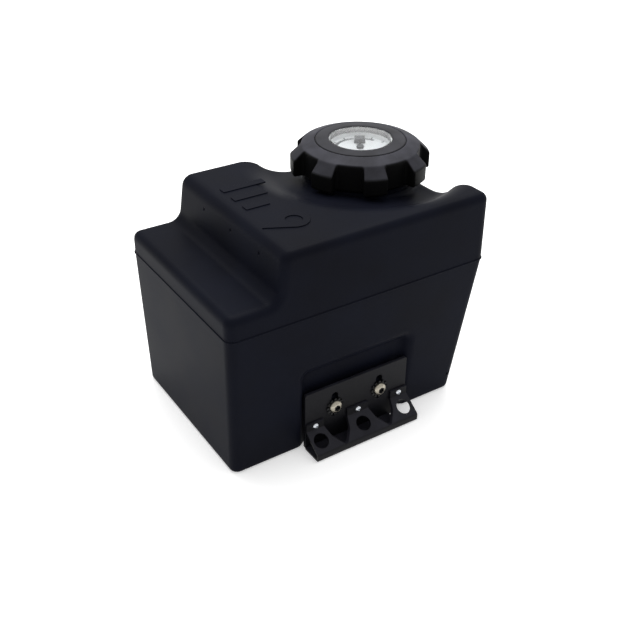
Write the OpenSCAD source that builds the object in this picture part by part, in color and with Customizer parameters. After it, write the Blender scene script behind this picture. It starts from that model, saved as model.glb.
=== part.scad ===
// Hydraulic reservoir: a two-part moulded tank with a screwed gauge cap,
// a slotted bracket with a hose hood, and two hose fittings.
// The origin is on the flat base, below the middle of the seam. X runs along
// the tank with the low shelf at -X, the bracket is on the -Y face, +Z is up.

/* [Tank] */
// Length of the tank at its seam
tank_len = 250; // [235:1:310]
// Width of the tank at its seam
tank_wid = 175; // [168:1:230]
// Height of the seam above the base
seam_h = 135; // [112:1:170]
// Height of the raised top above the seam
block_h = 61; // [52:1:75]
// Height of the low shelf above the seam
shelf_h = 20; // [15:1:28]
// Length of the low shelf along the seam
shelf_len = 44; // [32:1:50]
// How far the riser behind the shelf leans in
riser_lean = 5.5; // [2:0.5:10]
// Wall thickness
wall = 4; // [3:0.5:5]
// Radius of the upright corners
corner_r = 7.5; // [5:0.5:14]
// Radius of the top edges
edge_r = 7; // [3:0.5:9]
// Radius of the edge round the base
foot_r = 3.5; // [2:0.5:8]
// Inset of the base at the right end
draft_right = 18.5; // [5:0.5:25]
// Inset of the base at the front
draft_front = 7.5; // [4:0.5:9]
// Inset of the base at the left end
draft_left = 2.5; // [0:0.5:8]
// Inset of the base at the back
draft_back = 2.5; // [0:0.5:5]

/* [Filler] */
// Distance of the filler axis from the right end at the seam
filler_from_right = 52; // [48:1:62]
// Distance of the filler axis from the back at the seam
filler_from_back = 59.5; // [54:0.5:70]
// Depth of the well round the filler
well_depth = 22; // [18:1:26]
// Radius of the well at its floor
well_r = 77; // [72:1:84]
// How much wider the well is at its rim
well_flare = 17; // [10:1:24]
// Slope of the well floor towards the front left, in degrees
ramp_tilt = 10.5; // [6:0.5:11]
// Outer radius of the neck tube
neck_r = 40; // [38:0.5:41]
// Wall of the neck tube
neck_wall = 5; // [4:0.5:6]
// Height of the neck above its flange
neck_h = 19; // [19:0.5:22]
// Radius of the neck flange
flange_r = 50; // [48:0.5:51]
// Thickness of the neck flange
flange_t = 3; // [2:0.5:4]
// Pitch of the filler thread
thread_pitch = 6; // [5:0.5:7]
// Depth of the filler thread
thread_depth = 2.2; // [1.5:0.1:2.5]

/* [Cap] */
// Outer radius of the cap
cap_r = 62; // [58:0.5:66]
// Depth of the grip flutes
flute_depth = 9.5; // [6:0.5:10]
// Number of grip lobes
lobes = 8; // [6:1:12]
// Angle taken by one flute
flute_angle = 25.5; // [15:0.5:28]
// Gap between the cap skirt and the neck flange
skirt_gap = 2; // [1.5:0.5:3]
// Gasket thickness
gasket_t = 2.5; // [2:0.5:4]
// Outer radius of the bezel
bezel_r = 40; // [38:0.5:44]
// Radius of the window
window_r = 28; // [24:0.5:30]
// Rise of the domed lens above the bezel
lens_rise = 2.6; // [1.5:0.1:4]

/* [Gauge] */
// Travel of the float
float_travel = 120; // [80:1:120]
// Turn of the spindle over the float travel, in degrees
spindle_turn = 270; // [180:5:300]
// Float radius
float_r = 16; // [14.5:0.5:20]
// Float height
float_h = 24; // [16:1:26]
// Height of the gauge foot above the base
foot_z = 11; // [9:0.5:14]
// Distance of each guide rod from the spindle
rod_pitch = 10.5; // [9:0.5:11]
// Guide rod radius
rod_r = 1.5; // [1.2:0.1:1.6]
// Width of the twisted strip
strip_w = 5; // [4:0.5:6]
// Thickness of the twisted strip
strip_t = 0.8; // [0.6:0.1:1]

/* [Bracket] */
// Width of the bracket plate
plate_w = 105; // [98:1:112]
// Height of the bracket plate
plate_h = 56.5; // [54:0.5:60]
// Plate thickness
plate_t = 3; // [2:0.5:4]
// Distance of the bracket centre left of the tank centre
bracket_left = 3; // [0:1:6]
// Spacing of the two mounting bolts
bolt_gap = 46; // [40:1:48]
// Height of the mounting bolts above the base
bolt_z = 35; // [34:0.5:37]
// Lowest point of each slot above the base
slot_low = 24; // [22.5:0.5:24.5]
// Highest point of each slot above the base
slot_high = 49; // [46:0.5:51]
// Slot width
slot_w = 6.6; // [6.4:0.1:7]
// Distance from the tank seam face to the plate front
plate_set_in = 3.5; // [2.5:0.5:4]
// Depth of the pocket behind the plate
pocket_gap = 5.5; // [4:0.5:6]
// Height of the pocket above the base
pocket_h = 84; // [78:1:96]
// Width of the pocket at its rim
pocket_w = 118; // [115:1:124]

/* [Hood] */
// Spacing of the hose holes
hose_gap = 43.5; // [42:0.5:44]
// Radius of the hose holes
hose_r = 6.75; // [5:0.25:7]
// Reach of the hood in front of the plate
hood_reach = 20; // [18:0.5:24]
// Height of the vertical lip
lip_h = 7; // [6:0.5:8]
// Height at which the slope meets the flange
slope_top = 20; // [19:0.5:21]
// Sheet thickness of the hood
sheet_t = 2; // [1.5:0.5:2.5]
// Width of the tool scallops at the fold
scallop_w = 24; // [20:1:25]
// Radius of the scallops at their tip
scallop_tip = 3.2; // [2.5:0.1:4]
// Length of the cable exit at the right end of the floor flange
exit_len = 17; // [14:0.5:20]
// Width of the cable exit in the low right corner of the plate
corner_len = 9; // [6:0.5:10]
// Height of the cable exit
exit_h = 8.5; // [6:0.5:9]

/* [Ports] */
// Distance of the suction port left of the tank centre
suction_left = 60; // [50:1:70]
// Distance of the return port right of the tank centre
return_right = 4; // [0:1:10]
// Height of the suction port
suction_z = 28; // [26:1:34]
// Height of the return port
return_z = 62; // [55:1:70]
// Outer radius of the suction hose tail
suction_tail_r = 9.5; // [8:0.5:9.5]
// Outer radius of the return hose tail
return_tail_r = 6.4; // [5:0.1:8]
// Radius of the fitting thread
port_r = 10.2; // [9.5:0.1:11]
// Length of the plain stretch of each tail
tail_len = 14; // [12:1:20]

/* [Pilot holes] */
// Spacing of the three holes in the riser
riser_gap = 45; // [35:1:50]
// Radius of the riser holes
riser_hole_r = 1.25; // [1:0.05:1.6]
// Radius of the hole low on the front face
front_hole_r = 1.5; // [1.2:0.05:2]
// Depth of the pilot holes
pilot_depth = 8; // [6:0.5:9]

/* [Hidden] */
$fn = 72;

cut = 1;             // how far a cutter runs past the face it cuts
skin = 0.01;         // height of the thin discs that a hull runs through
run_gap = 0.05;      // radial clearance of a running or screwed fit
slide_gap = 0.1;     // gap on each side of the sliding plate
loose_gap = 0.4;     // clearance round the guide rods and the strip
tank_black = "#23262c";
gloss_black = "#17181b";
steel = "#c9c9c4";
brass = "#b99a55";

// ---- places that follow from the sizes above ----
top_h = seam_h + block_h;
shelf_z = seam_h + shelf_h;
front_y = -tank_wid / 2;
back_y = tank_wid / 2;
left_x = -tank_len / 2;
right_x = tank_len / 2;
riser_x = left_x + shelf_len;
filler_x = right_x - filler_from_right;
filler_y = back_y - filler_from_back;
well_z = top_h - well_depth;
ramp_dir = 213;      // direction in which the well floor rises, from +X
seat_h = 9;          // height of the neck's seat above the well floor
flange_z = well_z + seat_h;
neck_base = flange_z + flange_t;
neck_top = neck_base + neck_h;
neck_bore = neck_r - neck_wall;
cap_z = neck_base + skirt_gap;
cap_bore = neck_r + thread_depth + 0.6;
gasket_z = neck_top;
ceiling_z = gasket_z + gasket_t;
lens_z = ceiling_z + 2;
bezel_z = lens_z + 3;
bezel_t = 4.5;
cap_top = bezel_z + bezel_t - 0.8;
dial_z = lens_z - 3;
web_z = ceiling_z - 6.5;
web_t = 3;
cup_r = window_r + 3.5;
lens_t = 1.5;
turns = 1.4;
foot_t = 5;
float_z = foot_z + foot_t + 0.3;
driver_t = 1.2;
driver_z = float_z + float_h;
twist_rate = spindle_turn / float_travel;
strip_z = foot_z + foot_t;
strip_h = web_z - 1.5 - strip_z;
strip_end = strip_z + strip_h;
bracket_x = -bracket_left;
plate_y = front_y + plate_set_in;
plate_back = plate_y + plate_t;
boss_y = plate_back + slide_gap;
pocket_y = plate_back + pocket_gap;
plate_z = 0.5;
washer_t = 1;
washer_y = plate_y - slide_gap;
head_y = washer_y - washer_t;
bolt_r = 3;
bolt_head_r = 6;
bolt_head_t = 3.6;
bolt_socket = 2.8;   // radius of the hexagon socket over its corners
journal_r = 2;
pivot_r = 1.5;
insert_r = 4.5;
insert_l = 9;
hood_y = plate_y - sheet_t;
hood_front = plate_y - hood_reach;
lip_top = plate_z + lip_h;
slope_angle = atan2(slope_top - lip_top, hood_y - hood_front);
hood_flange = 7;     // height of the hood's upper flange
hood_top = slope_top + hood_flange;
screw_z = slope_top + hood_flange / 2;
screw_r = 1.5;
port_y = back_y + 3;
insert_wall = 3.5;
port_in = port_y - 14;
seal_t = 1.5;
riser_hole_up = 27;  // height of the riser holes above the shelf
riser_hole_z = shelf_z + riser_hole_up;
riser_mid_y = -7;
front_hole_in = 24;  // distance of the front hole from the right end
front_hole_x = right_x - front_hole_in;
front_hole_z = 17;
sides = [-1, 1];

// Inset of a wall at height z, where the whole inset is reached at the base
function inset(draft, z) = draft * (seam_h - z) / seam_h;

// ---- the tank ----
// Four discs at the corners of a rounded rectangle, thin or as tall as h; a hull joins them
module corner_discs(x0, x1, y0, y1, r, z, h = skin) {
    for (x = [x0 + r, x1 - r], y = [y0 + r, y1 - r])
        translate([x, y, z]) cylinder(h = h, r = r, $fn = 32);
}

// Drafted lower body, with every face moved in by t; the rim of an inner form runs past the seam
module lower_form(t) {
    hull() {
        for (a = [0 : 30 : 90]) {
            z = t + foot_r * (1 - cos(a));
            e = t + foot_r * (1 - sin(a));
            corner_discs(left_x + inset(draft_left, z) + e, right_x - inset(draft_right, z) - e,
                front_y + inset(draft_front, z) + e, back_y - inset(draft_back, z) - e, corner_r - t / 2, z);
        }
        corner_discs(left_x + t, right_x - t, front_y + t, back_y - t, corner_r - t / 2,
            t > 0 ? seam_h + cut : seam_h - skin);
    }
}

// Upright upper body with rounded top edges, with every face moved in by t
module upper_form(t) {
    base = t > 0 ? seam_h - cut : seam_h;
    hull() {
        corner_discs(left_x + t, right_x - t, front_y + t, back_y - t, corner_r - t / 2, base,
            top_h - t - edge_r - base);
        for (a = [0 : 30 : 60]) {
            e = t + edge_r * (1 - sin(a));
            corner_discs(left_x + e, right_x - e, front_y + e, back_y - e, corner_r - t / 2,
                top_h - t - edge_r + edge_r * cos(a) - skin);
        }
    }
}

// Side outline of the upper half: low shelf, leaning riser and raised block, moved in by t
module side_outline(t) {
    r = edge_r;
    lean = riser_lean / (block_h - shelf_h);
    foot = riser_x + t;
    brow = riser_x + riser_lean + t;
    base = seam_h - 2 * cut;
    polygon([[left_x + t, base], [right_x + cut, base], [right_x + cut, top_h - t],
        for (a = [90 : 30 : 180]) [brow + r + r * cos(a), top_h - t - r + r * sin(a)],
        for (a = [0 : -30 : -90]) [foot + lean * r - r + r * cos(a), shelf_z - t + r + r * sin(a)],
        for (a = [90 : 30 : 180]) [left_x + t + r + r * cos(a), shelf_z - t - r + r * sin(a)]]);
}

// The upper half as a solid, moved in by t
module upper_solid(t) {
    intersection() {
        upper_form(t);
        translate([0, back_y + cut, 0]) rotate([90, 0, 0])
            linear_extrude(tank_wid + 2 * cut) side_outline(t);
    }
}

// The round well that the cap stands in, grown by t for the wall below it
module well_form(t) {
    rim = well_depth + cut;
    reach = 2 * (well_r + well_flare);
    translate([filler_x, filler_y, well_z - t]) difference() {
        cylinder(h = rim + t, r1 = well_r + t, r2 = well_r + t + well_flare * (rim + t) / well_depth);
        rotate([0, 0, ramp_dir]) rotate([0, -ramp_tilt, 0])
            translate([0, -reach, -reach]) cube([reach, 2 * reach, reach]);
    }
}

// The pocket that the bracket stands in, grown by t for the wall behind it
module pocket_form(t) {
    lean = 9;
    r = 6;
    hull() for (depth = [0, 1]) {
        w = pocket_w / 2 + t - depth * lean;
        h = pocket_h + t - depth * lean;
        y = depth == 0 ? front_y - cut : pocket_y + t;
        translate([bracket_x, y, 0]) rotate([90, 0, 0]) {
            for (s = sides) translate([s * (w - r), h - r, 0]) cylinder(h = skin, r = r, $fn = 32);
            translate([-w, -cut, 0]) cube([2 * w, cut, skin]);
        }
    }
}

// Round bars along Y and along X
module rod_y(x, z, y0, y1, r) {
    translate([x, y0, z]) rotate([-90, 0, 0]) cylinder(h = y1 - y0, r = r);
}
module rod_x(y, z, x0, x1, r) {
    translate([x0, y, z]) rotate([0, 90, 0]) cylinder(h = x1 - x0, r = r);
}

module tank_lower() {
    boss_end = boss_y + insert_l + 4;
    pilot_y = front_y + inset(draft_front, front_hole_z);
    ports = [[-suction_left, suction_z], [return_right, return_z]];
    color(tank_black) difference() {
        union() {
            difference() {
                lower_form(0);
                difference() {
                    lower_form(wall);
                    pocket_form(wall);
                }
                pocket_form(0);
            }
            for (s = sides) rod_y(bracket_x + s * bolt_gap / 2, bolt_z, boss_y, boss_end, insert_r + 4);
            rod_y(front_hole_x, front_hole_z, pilot_y + 2, pilot_y + pilot_depth + 3, 5);
            for (p = ports) rod_y(p[0], p[1], port_in, port_y, port_r + insert_wall + 3);
        }
        for (s = sides) rod_y(bracket_x + s * bolt_gap / 2, bolt_z, boss_y - cut, boss_y + insert_l + 1, insert_r);
        rod_y(front_hole_x, front_hole_z, pilot_y - cut, pilot_y + pilot_depth, front_hole_r);
        for (p = ports) rod_y(p[0], p[1], port_in - cut, port_y + cut, port_r + insert_wall);
    }
}

// Raised mark on the top: an oil drop beside a stack of level bars
module top_mark() {
    mark_x = riser_x + riser_lean + edge_r + 32;
    mark_t = 0.8;
    drop_r = 13;
    drop_y = -42;
    bar_y = [-8, 11, 30];
    translate([mark_x, 0, top_h - skin]) linear_extrude(mark_t + skin) {
        translate([-3, drop_y]) difference() {
            union() {
                circle(r = drop_r);
                polygon([[-0.4 * drop_r, -0.8 * drop_r], [-0.4 * drop_r, 0.8 * drop_r], [-2.2 * drop_r, 0]]);
            }
            circle(r = drop_r * 0.55);
        }
        for (i = [0 : 2]) translate([-26, bar_y[i]]) square([22 + 9 * i, 8]);
    }
}

module tank_upper() {
    hole_y = [for (i = [-1 : 1]) riser_mid_y + i * riser_gap];
    hole_x = riser_x + (riser_hole_z - shelf_z) * riser_lean / (block_h - shelf_h);
    color(tank_black) difference() {
        union() {
            difference() {
                upper_solid(0);
                difference() {
                    upper_solid(wall);
                    well_form(wall);
                }
                well_form(0);
            }
            // Level seat under the neck flange
            translate([filler_x, filler_y, well_z - wall]) cylinder(h = flange_z - well_z + wall, r = flange_r + 1);
            for (y = hole_y) rod_x(y, riser_hole_z, hole_x + 1, hole_x + pilot_depth + 3, 5);
            top_mark();
        }
        translate([filler_x, filler_y, 0]) {
            translate([0, 0, well_z - wall - cut]) cylinder(h = well_depth, r = neck_r + loose_gap);
            translate([0, 0, flange_z]) cylinder(h = block_h, r = flange_r + 1);
        }
        for (y = hole_y) rod_x(y, riser_hole_z, hole_x - edge_r, hole_x + pilot_depth, riser_hole_r);
    }
}

// ---- filler neck and cap ----
// A screw ridge round +Z from radius r0 at its root to r1 at its crest, starting at height z
module thread_ridge(r0, r1, z, phase, count) {
    steps = 32;
    n = ceil(steps * count);
    root = 1.3;
    crest = 0.6;
    ring = [for (i = [0 : n]) let (a = phase + 360 * i / steps, zz = z + thread_pitch * i / steps)
        each [[r0 * cos(a), r0 * sin(a), zz - root], [r1 * cos(a), r1 * sin(a), zz - crest],
              [r1 * cos(a), r1 * sin(a), zz + crest], [r0 * cos(a), r0 * sin(a), zz + root]]];
    side = r1 > r0 ? [0, 1, 2, 3] : [3, 2, 1, 0];
    faces = [
        [for (k = [3 : -1 : 0]) side[k]],
        [for (k = [0 : 3]) 4 * n + side[k]],
        for (i = [0 : n - 1], k = [0 : 3])
            let (p = side[k], q = side[(k + 1) % 4])
            each [[4 * i + p, 4 * i + q, 4 * i + 4 + q], [4 * i + p, 4 * i + 4 + q, 4 * i + 4 + p]]];
    polyhedron(points = ring, faces = faces);
}

module filler_neck() {
    color(tank_black) translate([filler_x, filler_y, 0]) {
        difference() {
            union() {
                translate([0, 0, well_z - wall - 4]) cylinder(h = neck_top - well_z + wall + 4, r = neck_r);
                translate([0, 0, flange_z]) cylinder(h = flange_t, r = flange_r);
            }
            translate([0, 0, well_z - wall - 4 - cut]) cylinder(h = block_h, r = neck_bore);
        }
        thread_ridge(neck_r - 0.4, neck_r + thread_depth, cap_z + 3, 0, turns);
    }
}

module cap_seal() {
    color("#101010") translate([filler_x, filler_y, gasket_z]) difference() {
        cylinder(h = gasket_t, r = neck_r + 1);
        translate([0, 0, -cut]) cylinder(h = gasket_t + 2 * cut, r = neck_bore - 0.5);
    }
}

// Half section of the cap: grip skirt, sloped top, seat for the bezel and cup for the dial
module cap_section() {
    brow = cap_r - flute_depth;
    polygon([[cap_bore, cap_z], [cap_r - 1, cap_z], [cap_r, cap_z + 1], [cap_r, bezel_z - 10.5],
        [cap_r - 0.8, bezel_z - 9.1], [brow, bezel_z - 1], [bezel_r + 1.2, cap_top - 0.6],
        [bezel_r + 0.2, cap_top - 1.2], [bezel_r + 0.2, bezel_z], [cup_r, bezel_z], [cup_r, lens_z],
        [window_r, lens_z], [window_r, dial_z - 1], [window_r - 2, dial_z - 1], [window_r - 2, web_z + web_t],
        [journal_r + run_gap, web_z + web_t], [journal_r + run_gap, web_z],
        [neck_bore - 3, web_z], [neck_bore - 3, ceiling_z], [cap_bore, ceiling_z]]);
}

module cap_body() {
    brow = cap_r - flute_depth;
    reach = cap_r + 5;
    half = flute_angle / 2;
    color(gloss_black) translate([filler_x, filler_y, 0]) {
        difference() {
            rotate_extrude() cap_section();
            for (i = [0 : lobes - 1]) rotate([0, 0, i * 360 / lobes])
                translate([0, 0, cap_z - cut]) linear_extrude(block_h) difference() {
                    polygon([[0, 0], [reach, -reach * tan(half)], [reach, reach * tan(half)]]);
                    circle(r = brow);
                }
        }
        thread_ridge(cap_bore + 0.4, cap_bore - thread_depth, cap_z + 3 + thread_pitch / 2, 0, turns - 0.4);
    }
}

module cap_bezel() {
    color(gloss_black) translate([filler_x, filler_y, 0]) rotate_extrude()
        polygon([[window_r, bezel_z], [bezel_r, bezel_z], [bezel_r, cap_top - 1.2],
            [bezel_r - 0.8, cap_top - 0.4], [window_r + 1.5, cap_top + 0.4], [window_r, cap_top]]);
}

module lens_seal() {
    color("#101010") translate([filler_x, filler_y, lens_z]) difference() {
        cylinder(h = 1, r = cup_r - 0.2);
        translate([0, 0, -cut]) cylinder(h = 1 + 2 * cut, r = window_r);
    }
}

// Clear window: a flange under the bezel and a shallow dome
module gauge_lens() {
    base = lens_z + 1;
    wall_r = window_r - 0.2;
    edge = cap_top - base;
    dome_r = (wall_r * wall_r + lens_rise * lens_rise) / (2 * lens_rise);
    inner_r = dome_r - lens_t;
    color([0.93, 0.95, 0.95, 0.35]) translate([filler_x, filler_y, base]) rotate_extrude() {
        difference() {
            union() {
                square([cup_r - 0.2, bezel_z - base]);
                square([wall_r, edge]);
                intersection() {
                    translate([0, edge + lens_rise - dome_r]) circle(r = dome_r, $fn = 180);
                    translate([0, edge - skin]) square([wall_r, lens_rise + cut]);
                }
            }
            translate([-cut, -cut]) square([wall_r - lens_t + cut, edge - lens_t + cut]);
            intersection() {
                translate([0, edge + lens_rise - dome_r]) circle(r = inner_r, $fn = 180);
                translate([-cut, edge - lens_t - skin]) square([wall_r - lens_t + cut, lens_rise + 2 * lens_t]);
            }
            translate([-2 * cut, -cut]) square([2 * cut, block_h]);
        }
    }
}

// ---- gauge ----
module gauge_dial() {
    color("white") translate([filler_x, filler_y, dial_z - 1]) difference() {
        cylinder(h = 1, r = window_r - 0.2);
        translate([0, 0, -cut]) cylinder(h = 1 + 2 * cut, r = journal_r + 1);
    }
}

module breather_pad() {
    color("#3a3a38") translate([filler_x, filler_y, web_z + web_t]) difference() {
        cylinder(h = dial_z - 1 - web_z - web_t, r = window_r - 3);
        translate([0, 0, -cut]) cylinder(h = block_h, r = journal_r + 4);
    }
}

// Two rods that hang from a ring under the cap
module guide_frame() {
    head_t = 2;
    color(steel) translate([filler_x, filler_y, 0]) {
        difference() {
            translate([0, 0, web_z - head_t]) cylinder(h = head_t, r = rod_pitch + 4);
            translate([0, 0, web_z - head_t - cut]) cylinder(h = head_t + 2 * cut, r = strip_w);
        }
        for (s = sides) translate([s * rod_pitch, 0, foot_z]) cylinder(h = web_z - head_t - foot_z, r = rod_r);
    }
}

module guide_foot() {
    color(gloss_black) translate([filler_x, filler_y, foot_z]) difference() {
        cylinder(h = foot_t, r = rod_pitch + 3.5);
        for (s = sides) translate([s * rod_pitch, 0, -cut]) cylinder(h = foot_t + 2 * cut, r = rod_r);
        translate([0, 0, foot_t - 3]) cylinder(h = 3 + cut, r = pivot_r + run_gap);
    }
}

// Strip twisted along its length, on a pivot below and a journal above
module gauge_spindle() {
    color(steel) translate([filler_x, filler_y, 0]) {
        translate([0, 0, strip_z - 2.5]) cylinder(h = 2.5 + 0.3 + skin, r = pivot_r);
        translate([0, 0, strip_z + 0.3]) linear_extrude(height = strip_h - 0.3, twist = -twist_rate * (strip_h - 0.3),
            slices = 90, segments = 4) square([strip_w, strip_t], center = true);
        translate([0, 0, strip_end - skin]) cylinder(h = dial_z + 0.6 - strip_end + skin, r = journal_r);
    }
}

// Pointer with a raised paddle at its end; it points to the back right at the lowest level
module gauge_pointer() {
    pointer_dir = 57;
    blade_l = 10;
    paddle = [9, 10, 4];
    hub_r = 4.2;
    color("#8d8f90") translate([filler_x, filler_y, dial_z + 0.3]) rotate([0, 0, pointer_dir]) {
        difference() {
            union() {
                cylinder(h = 2.6, r = hub_r);
                linear_extrude(1) polygon([[0, -1.6], [blade_l, -1], [blade_l, 1], [0, 1.6]]);
                translate([blade_l - 1, -paddle[1] / 2, 0]) cube(paddle);
            }
            translate([0, 0, -cut]) cylinder(h = 0.3 + cut, r = journal_r);
        }
    }
}

module gauge_float() {
    color("#d9c49a") translate([filler_x, filler_y, float_z]) difference() {
        cylinder(h = float_h, r = float_r);
        for (s = sides) translate([s * rod_pitch, 0, -cut]) cylinder(h = float_h + 2 * cut, r = rod_r + loose_gap);
        translate([0, 0, -cut]) cylinder(h = float_h + 2 * cut, r = strip_w / 2 + 1);
    }
}

// Thin plate on the float with a slot that the twisted strip runs through
module float_driver() {
    at = driver_z + driver_t / 2 - strip_z - 0.3;
    color(brass) translate([filler_x, filler_y, driver_z]) difference() {
        cylinder(h = driver_t, r = rod_pitch - rod_r - 1);
        translate([0, 0, -cut]) rotate([0, 0, twist_rate * at]) linear_extrude(driver_t + 2 * cut)
            square([strip_w + loose_gap, strip_t + loose_gap + 0.3], center = true);
    }
}

// ---- bracket ----
// A rectangle with its low corner at the origin and round corners
module round_rect(w, h, r) {
    translate([r, 0]) square([w - 2 * r, h]);
    translate([0, r]) square([w, h - 2 * r]);
    for (x = [r, w - r], y = [r, h - r]) translate([x, y]) circle(r = r);
}

module bracket_plate() {
    half = slot_w / 2;
    color(gloss_black) translate([bracket_x, plate_back, 0]) rotate([90, 0, 0]) linear_extrude(plate_t) difference() {
        translate([-plate_w / 2, plate_z]) round_rect(plate_w, plate_h, 2);
        for (s = sides) translate([s * bolt_gap / 2, 0]) {
            translate([-half, slot_low + half]) square([slot_w, slot_high - slot_low - slot_w]);
            for (z = [slot_low + half, slot_high - half]) translate([0, z]) circle(r = half);
        }
        for (i = [-1 : 1]) translate([i * hose_gap, screw_z]) circle(r = screw_r);
        translate([plate_w / 2 - corner_len, plate_z - cut]) square([corner_len + cut, exit_h + cut]);
    }
}

// End outline of the hood, in Y and Z
module hood_outline() {
    back = sheet_t / cos(slope_angle);
    rise = tan(slope_angle);
    floor_end = plate_y - slide_gap;
    polygon([[plate_y, hood_top], [hood_y, hood_top], [hood_y, slope_top], [hood_front, lip_top],
        [hood_front, plate_z], [floor_end, plate_z], [floor_end, plate_z + sheet_t],
        [hood_front + sheet_t, plate_z + sheet_t], [hood_front + sheet_t, lip_top + sheet_t * rise - back],
        [plate_y, slope_top + sheet_t * rise - back]]);
}

// Front view of a scallop: a round tip just above the lip, sides that open out towards the fold
module scallop_outline() {
    belly = 0.76;      // share of the full width reached halfway up
    half = scallop_w / 2;
    belly_z = (lip_top + slope_top) / 2;
    hull() {
        translate([0, lip_top + scallop_tip]) circle(r = scallop_tip);
        polygon([[-belly * half, belly_z], [belly * half, belly_z], [half, slope_top], [-half, slope_top]]);
    }
    translate([-half, slope_top - skin]) square([scallop_w, hood_flange + cut]);
}

module bracket_hood() {
    mid_y = (hood_y + hood_front) / 2;
    mid_z = (slope_top + lip_top) / 2;
    lip_flange = 10;
    color(gloss_black) difference() {
        translate([bracket_x - plate_w / 2, 0, 0]) rotate([90, 0, 90]) linear_extrude(plate_w) hood_outline();
        for (s = sides) translate([bracket_x + s * bolt_gap / 2, plate_y + cut, 0])
            rotate([90, 0, 0]) linear_extrude(hood_reach + 2 * cut) scallop_outline();
        translate([bracket_x + plate_w / 2 - exit_len, hood_front + lip_flange, 0])
            cube([exit_len + cut, hood_reach, plate_z + sheet_t + cut]);
        for (i = [-1 : 1]) {
            translate([bracket_x + i * hose_gap, mid_y, mid_z]) rotate([slope_angle, 0, 0])
                translate([0, 0, -2 * sheet_t]) cylinder(h = 4 * sheet_t, r = hose_r);
            rod_y(bracket_x + i * hose_gap, screw_z, hood_y - cut, plate_y + cut, screw_r);
        }
    }
}

// Round-headed screw with a hexagon socket, pointing along +Y, its head on the plane y = 0
module button_screw(head_r, head_t, shank_r, shank_l, socket) {
    rotate([-90, 0, 0]) {
        cylinder(h = shank_l, r = shank_r);
        difference() {
            translate([0, 0, -head_t]) cylinder(h = head_t, r1 = head_r * 0.62, r2 = head_r);
            translate([0, 0, -head_t - cut]) cylinder(h = head_t * 0.6 + cut, r = socket, $fn = 6);
        }
    }
}

module hood_screws() {
    color(steel) for (i = [-1 : 1]) translate([bracket_x + i * hose_gap, hood_y, screw_z])
        button_screw(2.8, 1.9, screw_r, sheet_t + plate_t, 1.1);
}

module bracket_bolts() {
    color(steel) for (s = sides) translate([bracket_x + s * bolt_gap / 2, head_y, bolt_z])
        button_screw(bolt_head_r, bolt_head_t, bolt_r - run_gap, boss_y - head_y + insert_l - 1, bolt_socket);
}

module star_washers() {
    teeth = 12;
    color(gloss_black) for (s = sides) translate([bracket_x + s * bolt_gap / 2, washer_y, bolt_z])
        rotate([90, 0, 0]) linear_extrude(washer_t) difference() {
            union() {
                circle(r = bolt_head_r + 0.7);
                for (i = [0 : teeth - 1]) rotate(i * 360 / teeth) translate([bolt_head_r, -1]) square([2.4, 2]);
            }
            circle(r = bolt_r);
        }
}

module bracket_inserts() {
    color(brass) for (s = sides) difference() {
        rod_y(bracket_x + s * bolt_gap / 2, bolt_z, boss_y, boss_y + insert_l, insert_r);
        rod_y(bracket_x + s * bolt_gap / 2, bolt_z, boss_y - cut, boss_y + insert_l + cut, bolt_r);
    }
}

// ---- ports ----
module port_inserts() {
    color(brass) for (p = [[-suction_left, suction_z], [return_right, return_z]]) difference() {
        rod_y(p[0], p[1], port_in, port_y, port_r + insert_wall);
        rod_y(p[0], p[1], port_in - cut, port_y + cut, port_r);
    }
}

module port_seals() {
    color("#101010") for (p = [[-suction_left, suction_z], [return_right, return_z]]) difference() {
        rod_y(p[0], p[1], port_y, port_y + seal_t, port_r + 3);
        rod_y(p[0], p[1], port_y - cut, port_y + seal_t + cut, port_r + 0.3);
    }
}

// Screwed hose fitting along +Y: thread, hexagon and a tail that ends in barbs
module hose_fitting(tail_r, bore_r) {
    face = port_y + seal_t;
    hex_t = 9;
    barb_l = 4;
    barbs = 3;
    difference() {
        translate([0, face, 0]) rotate([-90, 0, 0]) {
            translate([0, 0, port_in + 2 - face]) cylinder(h = face - port_in - 2, r = port_r - run_gap);
            cylinder(h = hex_t, r = port_r + 4.5, $fn = 6);
            translate([0, 0, hex_t]) cylinder(h = tail_len, r = tail_r);
            for (i = [0 : barbs - 1]) translate([0, 0, hex_t + tail_len + i * barb_l])
                cylinder(h = barb_l, r1 = tail_r, r2 = tail_r - 1);
        }
        rod_y(0, 0, port_in, port_y + tank_wid, bore_r);
    }
}

module suction_fitting() {
    color(steel) translate([-suction_left, 0, suction_z]) hose_fitting(suction_tail_r, suction_tail_r - 2);
}

module return_fitting() {
    color(steel) translate([return_right, 0, return_z]) hose_fitting(return_tail_r, return_tail_r - 1.8);
}

// Perforated tube over the inner end of the suction port, closed at its far end
module suction_strainer() {
    tube_r = port_r + insert_wall;
    tube_l = 60;
    y0 = port_in - tube_l;
    rows = 8;
    color(steel) translate([-suction_left, 0, suction_z]) difference() {
        translate([0, y0, 0]) rotate([-90, 0, 0]) cylinder(h = tube_l, r = tube_r);
        translate([0, y0 + 1.5, 0]) rotate([-90, 0, 0]) cylinder(h = tube_l, r = tube_r - 1);
        for (i = [0 : rows - 1], a = [0 : 60 : 300])
            translate([0, y0 + 8 + i * 6, 0]) rotate([0, a, 0]) cylinder(h = tube_r + cut, r = 1.3);
    }
}

tank_lower();
tank_upper();
filler_neck();
cap_seal();
cap_body();
cap_bezel();
gauge_lens();
lens_seal();
gauge_dial();
breather_pad();
guide_frame();
guide_foot();
gauge_spindle();
gauge_pointer();
gauge_float();
float_driver();
bracket_plate();
bracket_hood();
hood_screws();
bracket_bolts();
star_washers();
bracket_inserts();
port_inserts();
port_seals();
suction_fitting();
return_fitting();
suction_strainer();
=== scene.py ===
import math

import bmesh
import bpy
import numpy as np
import openvdb
from mathutils import Matrix, Vector


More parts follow.
